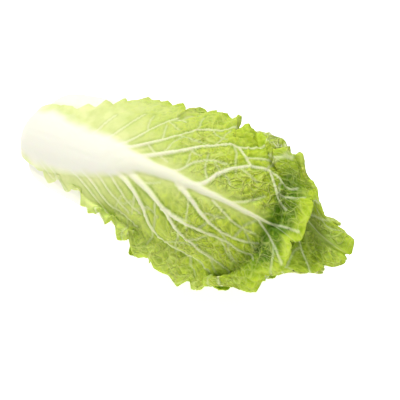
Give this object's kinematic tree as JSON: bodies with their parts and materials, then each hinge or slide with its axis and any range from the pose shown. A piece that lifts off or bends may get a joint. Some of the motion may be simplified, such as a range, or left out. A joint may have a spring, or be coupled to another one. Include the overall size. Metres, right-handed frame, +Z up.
{
  "type": "napa cabbage",
  "caption": "Napa cabbage lying on its side: broad white ribs, waved green wrapper leaves round a dense heart, with a cut stem stump.",
  "frame": {"origin": "on the surface it lies on, midway along and across the whole cabbage", "axes": "+X along the head from the cut butt to the leafy tip, +Z up; the outermost leaf's rib faces -Y and up"},
  "size_m": [0.311, 0.138, 0.1298],
  "materials": {
    "wrapper_leaf": "waxy satin, cream rib and veins",
    "heart_leaf": "waxy satin, paler than the wrapper leaves",
    "stem_flesh": "moist cut flesh"
  },
  "bodies": {
    "root": {"wrapper_leaf_1": "wrapper_leaf", "wrapper_leaf_2": "wrapper_leaf", "wrapper_leaf_3": "wrapper_leaf", "wrapper_leaf_4": "wrapper_leaf", "wrapper_leaf_5": "wrapper_leaf", "heart": "heart_leaf", "stem_stump": "stem_flesh"}
  },
  "joints": []
}
